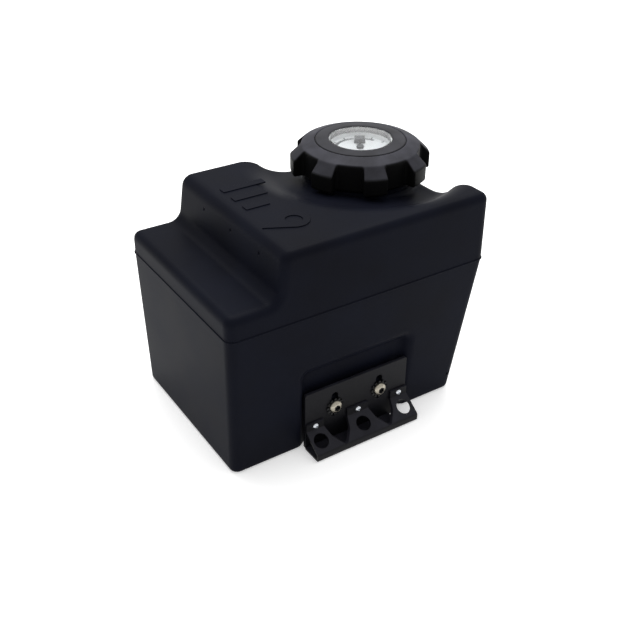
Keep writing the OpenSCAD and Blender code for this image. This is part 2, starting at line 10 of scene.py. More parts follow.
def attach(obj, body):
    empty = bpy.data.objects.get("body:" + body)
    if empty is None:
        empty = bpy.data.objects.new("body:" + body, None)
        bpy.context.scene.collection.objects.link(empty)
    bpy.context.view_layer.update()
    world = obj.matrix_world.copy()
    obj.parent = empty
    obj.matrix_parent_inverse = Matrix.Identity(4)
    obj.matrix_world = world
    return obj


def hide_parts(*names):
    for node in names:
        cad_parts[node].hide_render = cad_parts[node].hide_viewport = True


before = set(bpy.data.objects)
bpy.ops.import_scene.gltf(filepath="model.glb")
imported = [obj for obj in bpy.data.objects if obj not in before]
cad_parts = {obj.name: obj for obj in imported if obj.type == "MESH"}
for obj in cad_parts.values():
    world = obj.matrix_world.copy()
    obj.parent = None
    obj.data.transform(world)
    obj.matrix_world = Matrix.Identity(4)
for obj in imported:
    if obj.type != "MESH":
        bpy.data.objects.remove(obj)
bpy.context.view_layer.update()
mm = 0.001

# camera and studio: the camera stands in front of the left end and looks down on the tank
studio = dict(
    cameraAt=(-0.37625, -0.5865, 0.518),
    azimuth=-32.886,
    elevation=32.317,
    roll=0.263,
    lens=53.21,
    floorSize=8.0,
    floorColour="#f4f4f4",
    floorGlow=0.33,  # lit from below, so that only the contact shadow stays
    worldColour="#ffffff",
    worldStrength=0.9,
)


def toLinear(hexColour):
    parts = [int(hexColour[i:i + 2], 16) / 255 for i in (1, 3, 5)]
    return tuple(c / 12.92 if c <= 0.04045 else ((c + 0.055) / 1.055) ** 2.4 for c in parts) + (1.0,)


def addNode(tree, kind, links=None, **settings):
    # settings name a node property or an input socket; links give socket: output
    node = tree.nodes.new(kind)
    for name, value in settings.items():
        if hasattr(node, name):
            setattr(node, name, value)
        else:
            node.inputs[name.replace("_", " ")].default_value = value
    for socket, output in (links or {}).items():
        tree.links.new(output, node.inputs[socket])
    return node


def placeCamera(s):
    data = bpy.data.cameras.new("camera")
    data.lens = s["lens"]
    data.sensor_width = 36
    data.clip_end = 50
    camera = bpy.data.objects.new("camera", data)
    az, el, roll = (math.radians(s[k]) for k in ("azimuth", "elevation", "roll"))
    back = Vector((math.sin(az) * math.cos(el), -math.cos(az) * math.cos(el), math.sin(el)))
    right = (-back).cross(Vector((0, 0, 1))).normalized()
    up = right.cross(-back)
    turned = (math.cos(roll) * right + math.sin(roll) * up, math.cos(roll) * up - math.sin(roll) * right, back)
    camera.matrix_world = Matrix.Translation(s["cameraAt"]) @ Matrix(turned).transposed().to_4x4()
    bpy.context.scene.collection.objects.link(camera)
    bpy.context.scene.camera = camera


def addLight(name, at, aim, size, power):
    data = bpy.data.lights.new(name, "AREA")
    data.shape = "RECTANGLE"
    data.size, data.size_y = size
    data.energy = power
    light = bpy.data.objects.new(name, data)
    light.location = at
    light.rotation_euler = (Vector(aim) - Vector(at)).to_track_quat("-Z", "Y").to_euler()
    bpy.context.scene.collection.objects.link(light)


def buildStudio(s):
    half = s["floorSize"] / 2
    mesh = bpy.data.meshes.new("floor")
    mesh.from_pydata([(-half, -half, 0), (half, -half, 0), (half, half, 0), (-half, half, 0)], [], [(0, 1, 2, 3)])
    floor = bpy.data.objects.new("floor", mesh)
    bpy.context.scene.collection.objects.link(floor)
    paper = bpy.data.materials.new("studioPaper")
    paper.use_nodes = True
    shader = paper.node_tree.nodes["Principled BSDF"]
    shader.inputs["Base Color"].default_value = toLinear(s["floorColour"])
    shader.inputs["Roughness"].default_value = 0.9
    shader.inputs["Specular IOR Level"].default_value = 0.1
    shader.inputs["Emission Color"].default_value = (1, 1, 1, 1)
    shader.inputs["Emission Strength"].default_value = s["floorGlow"]
    mesh.materials.append(paper)
    world = bpy.data.worlds.new("studioWorld")
    world.use_nodes = True
    background = world.node_tree.nodes["Background"]
    background.inputs["Color"].default_value = toLinear(s["worldColour"])
    background.inputs["Strength"].default_value = s["worldStrength"]
    bpy.context.scene.world = world
    bpy.context.scene.view_settings.view_transform = "Standard"
    addLight("topSoftbox", (0.3, 0.5, 1.6), (0, 0, 0.1), (1.6, 1.2), 28)


placeCamera(studio)
buildStudio(studio)
print("studio and camera placed")


def newMaterial(name, colour, roughness, metallic=0.0, **sockets):
    material = bpy.data.materials.new(name)
    material.use_nodes = True
    shader = material.node_tree.nodes["Principled BSDF"]
    shader.inputs["Base Color"].default_value = toLinear(colour)
    shader.inputs["Roughness"].default_value = roughness
    shader.inputs["Metallic"].default_value = metallic
    for socket, value in sockets.items():
        shader.inputs[socket.replace("_", " ")].default_value = value
    return material, material.node_tree, shader


def perMillimetre(size):
    # noise scale whose features are about this many millimetres apart on Object coordinates
    return 1 / (size * mm)


def objectCoords(tree):
    return addNode(tree, "ShaderNodeTexCoord").outputs["Object"]


def mixColours(tree, factor, low, high):
    ramp = addNode(tree, "ShaderNodeValToRGB", {"Fac": factor})
    ramp.color_ramp.elements[0].color = toLinear(low)
    ramp.color_ramp.elements[1].color = toLinear(high)
    return ramp


def moulded(name, dark, light, roughness, grain, depth, level=0.3, dustAndTopLight=None, ior=1.5):
    # moulded plastic: fine pitted grain, slow changes of sheen and tone, and where asked a lighter grey on upward faces
    # that is part settled dust and part painted top light
    material, tree, shader = newMaterial(name, dark, roughness, Specular_IOR_Level=level, IOR=ior)
    coords = objectCoords(tree)
    patch = addNode(tree, "ShaderNodeTexNoise", {"Vector": coords}, Scale=perMillimetre(60), Detail=4.0)
    tone = mixColours(tree, patch.outputs["Fac"], dark, light)
    tone.color_ramp.elements[0].position = 0.35
    tone.color_ramp.elements[1].position = 0.7
    colour = tone.outputs["Color"]
    # upward faces greyed: partly settled dust, partly painted light standing in for the light falling on the tops
    if dustAndTopLight:
        facing = addNode(tree, "ShaderNodeSeparateXYZ", {"Vector": addNode(tree, "ShaderNodeTexCoord").outputs["Normal"]})
        upFacingShare = addNode(tree, "ShaderNodeMapRange", {"Value": facing.outputs["Z"]})
        upFacingShare.inputs["From Min"].default_value = dustAndTopLight["low"]
        upFacingShare.inputs["From Max"].default_value = dustAndTopLight["high"]
        speckle = addNode(tree, "ShaderNodeTexNoise", {"Vector": coords}, Scale=perMillimetre(18), Detail=8.0)
        share = addNode(tree, "ShaderNodeMath", {0: upFacingShare.outputs[0], 1: speckle.outputs["Fac"]}, operation="MULTIPLY")
        layer = addNode(tree, "ShaderNodeMix", {0: share.outputs[0], 6: colour}, data_type="RGBA")
        layer.inputs[7].default_value = toLinear(dustAndTopLight["colour"])
        colour = layer.outputs[2]
    tree.links.new(colour, shader.inputs["Base Color"])
    sheen = addNode(tree, "ShaderNodeMapRange", {"Value": patch.outputs["Fac"]})
    sheen.inputs["To Min"].default_value = roughness - 0.05
    sheen.inputs["To Max"].default_value = roughness + 0.07
    tree.links.new(sheen.outputs["Result"], shader.inputs["Roughness"])
    pits = addNode(tree, "ShaderNodeTexNoise", {"Vector": coords}, Scale=perMillimetre(grain), Detail=3.0)
    bump = addNode(tree, "ShaderNodeBump", {"Height": pits.outputs["Fac"]}, Strength=depth, Distance=0.0004)
    tree.links.new(bump.outputs["Normal"], shader.inputs["Normal"])
    return material


def worked(name, dark, light, roughness, spacing, stretch=(1, 1, 1), depth=0.08, metallic=1.0):
    # metal: marks left by its tool, stretched along the way it was worked
    material, tree, shader = newMaterial(name, light, roughness, metallic)
    place = addNode(tree, "ShaderNodeMapping", {"Vector": objectCoords(tree)})
    place.inputs["Scale"].default_value = stretch
    marks = addNode(tree, "ShaderNodeTexNoise", {"Vector": place.outputs[0]}, Scale=perMillimetre(spacing), Detail=6.0)
    tone = mixColours(tree, marks.outputs["Fac"], dark, light)
    tree.links.new(tone.outputs["Color"], shader.inputs["Base Color"])
    sheen = addNode(tree, "ShaderNodeMapRange", {"Value": marks.outputs["Fac"]})
    sheen.inputs["To Min"].default_value = roughness - 0.06
    sheen.inputs["To Max"].default_value = roughness + 0.1
    tree.links.new(sheen.outputs["Result"], shader.inputs["Roughness"])
    bump = addNode(tree, "ShaderNodeBump", {"Height": marks.outputs["Fac"]}, Strength=depth, Distance=0.0002)
    tree.links.new(bump.outputs["Normal"], shader.inputs["Normal"])
    return material


def clearMoulding(name):
    # polished clear plastic; the faint haze comes from fine wiping scratches about 2 mm apart
    material, tree, shader = newMaterial(name, "#f7f9fa", 0.04, IOR=1.49, Transmission_Weight=1.0)
    scratches = addNode(tree, "ShaderNodeTexNoise", {"Vector": objectCoords(tree)}, Scale=perMillimetre(2), Detail=8.0)
    haze = addNode(tree, "ShaderNodeMapRange", {"Value": scratches.outputs["Fac"]})
    haze.inputs["To Min"].default_value = 0.02
    haze.inputs["To Max"].default_value = 0.09
    tree.links.new(haze.outputs["Result"], shader.inputs["Roughness"])
    return material


def printedDial(name, d):
    # white styrene with one grey printed arc and a ring of level marks, laid out round the spindle
    material, tree, shader = newMaterial(name, d["white"], 0.45, Specular_IOR_Level=0.4)
    centred = addNode(tree, "ShaderNodeVectorMath", {0: objectCoords(tree)}, operation="SUBTRACT")
    centred.inputs[1].default_value = (d["centre"][0] * mm, d["centre"][1] * mm, 0)
    flat = addNode(tree, "ShaderNodeSeparateXYZ", {"Vector": centred.outputs[0]})
    across = addNode(tree, "ShaderNodeCombineXYZ", {"X": flat.outputs["X"], "Y": flat.outputs["Y"]})
    radius = addNode(tree, "ShaderNodeVectorMath", {0: across.outputs[0]}, operation="LENGTH")
    angle = addNode(tree, "ShaderNodeMath", {0: flat.outputs["Y"], 1: flat.outputs["X"]}, operation="ARCTAN2")

    def band(value, middle, half):
        node = addNode(tree, "ShaderNodeMath", {0: value}, operation="COMPARE")
        node.inputs[1].default_value = middle
        node.inputs[2].default_value = half
        return node.outputs[0]

    def both(a, b, operation="MULTIPLY"):
        return addNode(tree, "ShaderNodeMath", {0: a, 1: b}, operation=operation).outputs[0]

    ring = band(radius.outputs["Value"], d["arcRadius"] * mm, d["arcWidth"] * mm / 2)
    sweep = band(angle.outputs[0], math.radians(d["arcMiddle"]), math.radians(d["arcSweep"] / 2))
    steps = addNode(tree, "ShaderNodeMath", {0: angle.outputs[0]}, operation="PINGPONG")
    steps.inputs[1].default_value = math.radians(d["markEvery"] / 2)
    ticks = both(band(steps.outputs[0], 0, math.radians(1.6)), band(radius.outputs["Value"], d["markRadius"] * mm, 0.0014))
    ink = both(both(ring, sweep), ticks, "MAXIMUM")
    speckle = addNode(tree, "ShaderNodeTexNoise", {"Vector": objectCoords(tree)}, Scale=perMillimetre(9), Detail=4.0)
    paper = mixColours(tree, speckle.outputs["Fac"], d["white"], d["yellowed"])
    layer = addNode(tree, "ShaderNodeMix", {0: ink, 6: paper.outputs[0]}, data_type="RGBA")
    layer.inputs[7].default_value = toLinear(d["ink"])
    tree.links.new(layer.outputs[2], shader.inputs["Base Color"])
    return material


# black polyethylene, moulded: waxy satin, deep black with a faint blue cast and a fine orange-peel grain
tankPolyethylene = moulded("tankPolyethyleneMoulded", "#0b0c13", "#0e1019", 0.46, 1.4, 0.12, 0.5, ior=1.1)
# glass-filled nylon, moulded in a spark-eroded tool: dry and dead black on its sides, greyed on top partly by dust and
# partly by painted top light
capNylon = moulded("capNylonMoulded", "#050506", "#090909", 0.5, 0.7, 0.1, 0.07,
                   dict(colour="#44444c", low=0.3, high=0.95))
# the same nylon off a smoother tool: more even; its top is greyed a little less than the cap's, partly by dust and
# partly by painted top light
bezelNylon = moulded("bezelNylonMouldedFine", "#060607", "#0b0b0c", 0.42, 0.5, 0.05, 0.09,
                     dict(colour="#36363c", low=0.4, high=0.98))
# polycarbonate, injection moulded and clear: sharp highlights with a faint wiped haze
lensPolycarbonate = clearMoulding("lensPolycarbonateClear")
# styrene, moulded and printed: soft white with a grey scale
dialStyrene = printedDial("dialStyrenePrinted", dict(
    white="#fafbfb", yellowed="#f1f2f2", ink="#4d5053", centre=(73, 28), arcRadius=21.5, arcWidth=3,
    arcMiddle=95, arcSweep=150, markRadius=24.5, markEvery=30))
# acetal, moulded: flat mid grey
pointerAcetal = moulded("pointerAcetalMoulded", "#3c3e40", "#484b4d", 0.4, 0.6, 0.05, 0.4)
# stainless steel, cold formed and tumbled: bright with soft smudges
stainless = worked("stainlessColdFormed", "#7d786c", "#b9b3a4", 0.3, 1.6, depth=0.05)
# stainless steel, cold headed and polished: small cold highlights
stainlessPolished = worked("stainlessPolished", "#a3a8ae", "#e2e5e9", 0.2, 1.2, depth=0.04)
# stainless bar, turned: rings too fine to show are drawn 0.5 mm apart along the hose tails
stainlessTurned = worked("stainlessTurned", "#8b8984", "#c3c1bb", 0.28, 2.5, (1, 5, 1), 0.1)
# steel strip, drawn and twisted: long pale streaks
spindleSteel = worked("spindleSteelDrawn", "#86878a", "#b4b5b6", 0.3, 3, (3, 3, 0.2), 0.05)
# brass, turned: warm, slightly tarnished in patches
brassTurned = worked("brassTurned", "#8d6b33", "#c9a45a", 0.3, 2, (1, 4, 1), 0.08)
# black oxide on spring steel: dull near-black with a faint metal gleam
washerOxide = worked("springSteelBlackOxide", "#060607", "#111113", 0.38, 0.8, depth=0.1, metallic=0.6)
# powder coat on steel sheet: even satin black with a fine orange peel; upward faces greyed partly by dust and partly by
# painted top light
powderCoat = moulded("powderCoatBaked", "#08080b", "#0c0c11", 0.44, 0.9, 0.14, 0.5,
                     dict(colour="#2c2c34", low=0.3, high=0.95), 1.22)
# nitrile rubber, pressed: matt black with a faint bloom
nitrile = moulded("nitrileRubberPressed", "#0e0e0e", "#191918", 0.7, 1.0, 0.1, 0.3)
# closed-cell nitrile foam: tan, pitted skin with pores about a millimetre apart
floatFoam = moulded("floatFoamCellular", "#a8905f", "#c9b184", 0.75, 1.0, 0.5, 0.25)
# reticulated foam: open, rough and dark
ventFoam = moulded("ventFoamOpenCell", "#161615", "#2b2b28", 0.9, 1.2, 0.9, 0.15)


tank = dict(
    length=250, width=175, seam=135, top=196, shelf=155,
    riserFoot=-81, riserLean=5.5,
    draftRight=18.5, draftFront=7.5, draftLeft=2.5, draftBack=2.5,
    cornerRadius=7.5, edgeRadius=7, footRadius=3.5, wall=4,
    fillerX=73, fillerY=28, wellFloor=174, wellRadius=77, wellFlare=17, rampTilt=10.5, rampDirection=213,
    seatRadius=51, seatTop=183, neckHole=40.4,
    bracketX=-3, pocketWidth=118, pocketHeight=84, pocketBack=-75.5, pocketLean=9,
    frontHole=(101, 17), frontHoleRadius=1.5, frontHoleEnd=-72.94,
    riserHoles=(38, -7, -52), riserHoleHeight=182, riserHoleRadius=1.25, riserHoleEnd=-69.38,
    cell=2.0,
)


def roundMax(a, b, r):
    # the larger of two distances, with a round edge of radius r where they cross
    u = a + r
    v = b + r
    return np.hypot(np.maximum(u, 0), np.maximum(v, 0)) - r + np.minimum(np.maximum(u, v), 0)


def roundMin(a, b, r):
    return -roundMax(-a, -b, r)


def sideWalls(p, t, z):
    drop = np.maximum(t["seam"] - z, 0) / t["seam"]
    halfL, halfW = t["length"] / 2, t["width"] / 2
    rise = np.maximum(z - t["seam"], 0) / 61
    ends = np.maximum(p[0] - (halfL - t["draftRight"] * drop - 0.5 * rise), -p[0] - (halfL - t["draftLeft"] * drop))
    faces = np.maximum(p[1] - (halfW - t["draftBack"] * drop - 2.5 * rise),
                       -p[1] - (halfW - t["draftFront"] * drop - 0.5 * rise))
    return roundMax(ends, faces, t["cornerRadius"])


def lowerTank(p, t):
    body = roundMax(sideWalls(p, t, p[2]), -p[2], t["footRadius"])
    lean = t["pocketLean"] / 13.5
    deep = (p[1] - t["pocketBack"])  # negative in front of the pocket floor
    slope = 1 / math.hypot(1, lean)
    acrossX = (np.abs(p[0] - t["bracketX"]) - (t["pocketWidth"] / 2 - t["pocketLean"]) + lean * deep) * slope
    upZ = (p[2] - (t["pocketHeight"] - t["pocketLean"]) + lean * deep) * slope
    pocket = roundMax(roundMax(acrossX, upZ, 6), deep, 3)
    body = roundMax(body, -pocket, 3.5)
    for s in (-1, 1):
        boss = np.hypot(p[0] - t["bracketX"] - s * 23, p[2] - 35) - 8.5
        boss = roundMax(roundMax(boss, -80.9 - p[1], 0.8), p[1] + 66, 1)
        body = roundMin(body, boss, 2.5)
    for x, z in ((-60, 28), (4, 62)):
        boss = np.hypot(p[0] - x, p[2] - z) - 16.7
        boss = roundMax(roundMax(boss, p[1] - 90.5, 0.8), 76.5 - p[1], 1)
        body = roundMin(body, boss, 2.5)
    return body


def upperTank(p, t):
    r = t["edgeRadius"]
    foot = t["riserFoot"] + t["riserLean"] * (p[2] - t["shelf"]) / (t["top"] - t["shelf"])
    block = roundMax(foot - p[0], p[2] - t["top"], r + 2)
    outline = roundMin(p[2] - t["shelf"], block, 9)
    body = roundMax(outline, sideWalls(p, t, p[2]), r)
    x, y = p[0] - t["fillerX"], p[1] - t["fillerY"]
    radius = np.hypot(x, y)
    flare = t["wellFlare"] / (t["top"] - t["wellFloor"])
    cone = (radius - t["wellRadius"] - flare * (p[2] - t["wellFloor"])) / math.hypot(1, flare)
    turn = math.radians(t["rampDirection"])
    along = x * math.cos(turn) + y * math.sin(turn)
    ramp = t["wellFloor"] + math.tan(math.radians(t["rampTilt"])) * (along + np.hypot(along, 14)) / 2
    well = roundMax(cone, ramp - p[2], 9)
    body = roundMax(body, -well, 11)
    seat = roundMax(radius - t["seatRadius"], p[2] - t["seatTop"], 1)
    body = roundMin(body, np.maximum(seat, t["wellFloor"] - 6 - p[2]), 3)
    return roundMax(body, -np.maximum(radius - t["seatRadius"] - 0.5, t["seatTop"] - p[2]), 0.8)


def shellField(solid, t, bosses, cutter):
    # a wall of even thickness, with bosses on its inner side for the blind holes
    def field(p):
        outside = solid(p, t)
        skin = np.maximum(outside, -(outside + t["wall"]))
        inside = np.maximum(bosses(p, t), outside + 1)
        return np.maximum(np.minimum(skin, inside), cutter(p))
    return field


def frontBoss(p, t):
    x, z = t["frontHole"]
    return np.maximum(np.hypot(p[0] - x, p[2] - z) - 5, p[1] + 69.9)


def riserBosses(p, t):
    rows = [np.hypot(p[1] - y, p[2] - t["riserHoleHeight"]) - 5 for y in t["riserHoles"]]
    return np.maximum(np.minimum.reduce(rows), p[0] + 66.4)


def meshField(field, low, high, cell, settle=5):
    # walls of the shape where the field is zero: quads from a grid, then every point slid onto the surface
    axes = [np.arange(a, b + cell, cell) for a, b in zip(low, high)]
    grid = openvdb.FloatGrid()
    grid.background = 100.0
    grid.copyFromArray(field(np.meshgrid(*axes, indexing="ij")).astype(np.float32))
    points, quads = grid.convertToQuads(isovalue=0.0)
    points = points.astype(float) * cell + np.array(low, float)
    step = 0.05
    for _ in range(settle):
        p = points.T
        value = field(p)
        slope = np.array([field(p + step * e[:, None]) - field(p - step * e[:, None]) for e in np.eye(3)]) / (2 * step)
        size = np.maximum((slope ** 2).sum(0), 0.2)
        move = -(value * slope / size).T
        points += np.clip(move, -cell, cell)
    return points, quads


def makeObject(name, points, faces, material, smooth=True):
    mesh = bpy.data.meshes.new(name)
    mesh.from_pydata([tuple(v) for v in np.asarray(points) * mm], [], [tuple(int(i) for i in f) for f in faces])
    mesh.materials.append(material)
    mesh.shade_smooth() if smooth else mesh.shade_flat()
    obj = bpy.data.objects.new(name, mesh)
    bpy.context.scene.collection.objects.link(obj)
    return obj


def rideFor(obj, body, slotName, *nodes):
    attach(obj, body)
    if nodes:
        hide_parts(*nodes)
    return obj


def noCut(p):
    return np.full(np.shape(p[0]), -100.0)


def roundCorners(points, radius, steps=4):
    # each corner of a closed outline becomes an arc; radius is one size or one for each corner
    rounded = []
    for i, point in enumerate(points):
        here = Vector(point)
        back = Vector(points[i - 1]) - here
        ahead = Vector(points[(i + 1) % len(points)]) - here
        half = back.angle(ahead) / 2
        wanted = radius[i] if isinstance(radius, (list, tuple)) else radius
        reach = min(wanted / math.tan(half), 0.45 * back.length, 0.45 * ahead.length)
        if reach < 0.02 or half > 1.55:
            rounded.append(tuple(here))
            continue
        r = reach * math.tan(half)
        middle = here + (back.normalized() + ahead.normalized()).normalized() * (r / math.sin(half))
        first, last = here + back.normalized() * reach - middle, here + ahead.normalized() * reach - middle
        for k in range(steps + 1):
            rounded.append(tuple(middle + first.lerp(last, k / steps).normalized() * r))
    return rounded


def outlineDistance(points, u, v):
    # distance of (u, v) from a closed outline, negative inside
    best, side = np.full(np.shape(u), 1e9), np.ones(np.shape(u))
    for (ax, ay), (bx, by) in zip(points, points[1:] + points[:1]):
        ex, ey, wx, wy = bx - ax, by - ay, u - ax, v - ay
        t = np.clip((wx * ex + wy * ey) / (ex * ex + ey * ey), 0, 1)
        best = np.minimum(best, (wx - ex * t) ** 2 + (wy - ey * t) ** 2)
        rise, fall, left = v >= ay, v < by, ex * wy > ey * wx
        side = np.where((rise & fall & left) | ~(rise | fall | left), -side, side)
    return side * np.sqrt(best)


def settle(name, work, material, sharp=35):
    # doubles merged, faces turned outwards, creases sharper than the angle kept crisp
    bmesh.ops.remove_doubles(work, verts=work.verts, dist=1e-7)
    bmesh.ops.recalc_face_normals(work, faces=work.faces)
    mesh = bpy.data.meshes.new(name)
    work.to_mesh(mesh)
    work.free()
    mesh.materials.append(material)
    mesh.shade_smooth()
    mesh.set_sharp_from_angle(angle=math.radians(sharp))
    obj = bpy.data.objects.new(name, mesh)
    bpy.context.scene.collection.objects.link(obj)
    return obj


def turned(name, outline, steps, material, centre=(0, 0), sharp=35):
    # a closed outline of (radius, height) turned about an upright line
    work = bmesh.new()
    rings = []
    for k in range(steps):
        a = 2 * math.pi * k / steps
        rings.append([work.verts.new(((centre[0] + r * math.cos(a)) * mm, (centre[1] + r * math.sin(a)) * mm, z * mm))
                      for r, z in outline])
    for here, there in zip(rings, rings[1:] + rings[:1]):
        for i in range(len(outline)):
            j = (i + 1) % len(outline)
            work.faces.new((here[i], there[i], there[j], here[j]))
    return settle(name, work, material, sharp)


def prism(name, outline, start, end, axis, material):
    # an outline pushed from start to end along an axis; it is given as (y, z), (x, z) or (x, y)
    work = bmesh.new()
    def corner(a, b, along):
        place = {"X": (along, a, b), "Y": (a, along, b), "Z": (a, b, along)}[axis]
        return work.verts.new([c * mm for c in place])
    near = [corner(a, b, start) for a, b in outline]
    far = [corner(a, b, end) for a, b in outline]
    work.faces.new(near)
    work.faces.new(far)
    for i in range(len(outline)):
        j = (i + 1) % len(outline)
        work.faces.new((near[i], near[j], far[j], far[i]))
    return settle(name, work, material)


def applied(obj):
    # the object's modifiers become its mesh
    mesh = bpy.data.meshes.new_from_object(obj.evaluated_get(bpy.context.evaluated_depsgraph_get()))
    obj.modifiers.clear()
    obj.data = mesh
    return obj


def cutAway(obj, cutters):
    for cutter in cutters:
        modifier = obj.modifiers.new("cut", "BOOLEAN")
        modifier.operation = "DIFFERENCE"
        modifier.solver = "EXACT"
        modifier.object = cutter
    applied(obj)
    for cutter in cutters:
        bpy.data.objects.remove(cutter)
    return obj


def softenEdges(obj, width, steps=2, angle=38):
    modifier = obj.modifiers.new("edges", "BEVEL")
    modifier.width = width * mm
    modifier.segments = steps
    modifier.limit_method = "ANGLE"
    modifier.angle_limit = math.radians(angle)
    modifier.harden_normals = True
    obj.data.shade_smooth()
    return applied(obj)


def ringOf(count, radius, x=0.0, z=0.0):
    return [(x + radius * math.cos(2 * math.pi * k / count), z + radius * math.sin(2 * math.pi * k / count))
            for k in range(count)]


def buildTank(t):
    reach = 6  # the halves are meshed past the seam and cut there
    halfL, halfW = t["length"] / 2 + 4, t["width"] / 2 + 6
    lowField = shellField(lowerTank, t, frontBoss, noCut)
    points, quads = meshField(lowField, (-halfL, -halfW, -4), (halfL, halfW, t["seam"] + reach), t["cell"])
    lower = makeObject("tankLower", points, quads, tankPolyethylene)
    hole = t["neckHole"]
    upField = shellField(upperTank, t, riserBosses, lambda p: hole - np.hypot(p[0] - t["fillerX"], p[1] - t["fillerY"]))
    points, quads = meshField(upField, (-halfL, -halfW, t["seam"] - reach), (halfL, halfW, t["top"] + 4), t["cell"])
    upper = makeObject("tankUpper", points, quads, tankPolyethylene)
    for obj, side in ((lower, 1), (upper, -1)):
        cutAtSeam(obj, t["seam"] * mm, side)
    x, z = t["frontHole"]
    cutAway(lower, [prism("holeCutter", ringOf(32, t["frontHoleRadius"], x, z), -90, t["frontHoleEnd"], "Y", tankPolyethylene)])
    cutAway(upper, [prism("holeCutter", ringOf(32, t["riserHoleRadius"], y, t["riserHoleHeight"]), -90, t["riserHoleEnd"], "X",
                          tankPolyethylene) for y in t["riserHoles"]])
    rideFor(lower, "tank", "tank_polyethylene", "tank_lower")
    rideFor(upper, "tank", "tank_polyethylene", "tank_upper")


def cutAtSeam(obj, height, side):
    work = bmesh.new()
    work.from_mesh(obj.data)
    geometry = work.verts[:] + work.edges[:] + work.faces[:]
    bmesh.ops.bisect_plane(work, geom=geometry, plane_co=(0, 0, height), plane_no=(0, 0, side), clear_outer=True)
    rim = [e for e in work.edges if e.is_boundary and all(abs(v.co.z - height) < 1e-5 for v in e.verts)]
    made = bmesh.ops.bridge_loops(work, edges=rim)
    bmesh.ops.recalc_face_normals(work, faces=made["faces"])
    work.to_mesh(obj.data)
    work.free()


def sweptRound(name, t, section, steps, material):
    # a small section carried round the tank's outline at the seam
    halfL, halfW, r = t["length"] / 2, t["width"] / 2, t["cornerRadius"]
    work = bmesh.new()
    rings = []
    for quarter, (sx, sy) in enumerate(((1, 1), (-1, 1), (-1, -1), (1, -1))):
        for k in range(steps + 1):
            a = math.pi / 2 * (quarter + k / steps)
            x, y = sx * (halfL - r), sy * (halfW - r)
            rings.append([work.verts.new(((x + (r + out) * math.cos(a)) * mm, (y + (r + out) * math.sin(a)) * mm,
                                          (t["seam"] + z) * mm)) for out, z in section])
    for here, there in zip(rings, rings[1:] + rings[:1]):
        for i in range(len(section)):
            j = (i + 1) % len(section)
            work.faces.new((here[i], there[i], there[j], here[j]))
    return settle(name, work, material, 60)


mark = dict(
    bottom=195.6, top=196.8, dropX=-39.5, dropY=-42, dropRadius=13, dropHole=7.15, dropTip=-28.6,
    barX=-62.5, barWidth=8, bars=((-8, 22), (11, 31), (30, 40)), soft=0.25,
    ridge=[(-0.6, -0.9), (0.25, -0.75), (0.7, -0.3), (0.7, 0.3), (0.25, 0.75), (-0.6, 0.9)],
)


def buildMark(m):
    # raised oil drop beside three level bars, moulded with the top
    r, tip = m["dropRadius"], m["dropTip"]
    reach = math.acos(-r / tip)
    arc = [(m["dropX"] + r * math.cos(a), m["dropY"] + r * math.sin(a)) for a in
           (-(math.pi - reach) + 2 * (math.pi - reach) * k / 40 for k in range(41))]
    drop = prism("drop", arc + [(m["dropX"] + tip, m["dropY"])], m["bottom"], m["top"], "Z", tankPolyethylene)
    cutAway(drop, [prism("dropCutter", ringOf(40, m["dropHole"], m["dropX"], m["dropY"]), m["bottom"] - 1, m["top"] + 1, "Z",
                         tankPolyethylene)])
    work = bmesh.new()
    work.from_mesh(drop.data)
    bpy.data.objects.remove(drop)
    for low, length in m["bars"]:
        corners = roundCorners([(m["barX"], low), (m["barX"] + length, low), (m["barX"] + length, low + m["barWidth"]),
                                (m["barX"], low + m["barWidth"])], 0.8)
        bar = prism("bar", corners, m["bottom"], m["top"], "Z", tankPolyethylene)
        work.from_mesh(bar.data)
        bpy.data.objects.remove(bar)
    raised = softenEdges(settle("tankMark", work, tankPolyethylene), m["soft"])
    rideFor(raised, "tank", "tank_polyethylene")
    rideFor(sweptRound("tankSeam", tank, m["ridge"], 8, tankPolyethylene), "tank", "tank_polyethylene")


buildTank(tank)
buildMark(mark)
print("tank halves meshed")


def repeatTree(name, around):
    # copies in a row along X, or evenly round the upright axis, made real and given their finish
    tree = bpy.data.node_groups.new(name, "GeometryNodeTree")
    for label, kind in (("Geometry", "Geometry"), ("Count", "Int"), ("Gap", "Float"), ("Finish", "Material")):
        tree.interface.new_socket(label, in_out="INPUT", socket_type="NodeSocket" + kind)
    tree.interface.new_socket("Geometry", in_out="OUTPUT", socket_type="NodeSocketGeometry")
    given = addNode(tree, "NodeGroupInput").outputs
    if around:
        places = addNode(tree, "GeometryNodePoints", {"Count": given["Count"]}).outputs[0]
        number = addNode(tree, "GeometryNodeInputIndex").outputs[0]
        share = addNode(tree, "ShaderNodeMath", {0: number, 1: given["Count"]}, operation="DIVIDE").outputs[0]
        angle = addNode(tree, "ShaderNodeMath", {0: share}, operation="MULTIPLY")
        angle.inputs[1].default_value = 2 * math.pi
        turn = addNode(tree, "ShaderNodeCombineXYZ", {"Z": angle.outputs[0]}).outputs[0]
        links = {"Points": places, "Instance": given["Geometry"], "Rotation": turn}
    else:
        offset = addNode(tree, "ShaderNodeCombineXYZ", {"X": given["Gap"]}).outputs[0]
        places = addNode(tree, "GeometryNodeMeshLine", {"Count": given["Count"], "Offset": offset}, mode="OFFSET")
        links = {"Points": places.outputs[0], "Instance": given["Geometry"]}
    copies = addNode(tree, "GeometryNodeInstanceOnPoints", links).outputs[0]
    real = addNode(tree, "GeometryNodeRealizeInstances", {"Geometry": copies}).outputs[0]
    joined = addNode(tree, "GeometryNodeMergeByDistance", {"Geometry": real}, Distance=0.000005).outputs[0]
    dressed = addNode(tree, "GeometryNodeSetMaterial", {"Geometry": joined, "Material": given["Finish"]}).outputs[0]
    addNode(tree, "NodeGroupOutput", {"Geometry": dressed})
    return tree


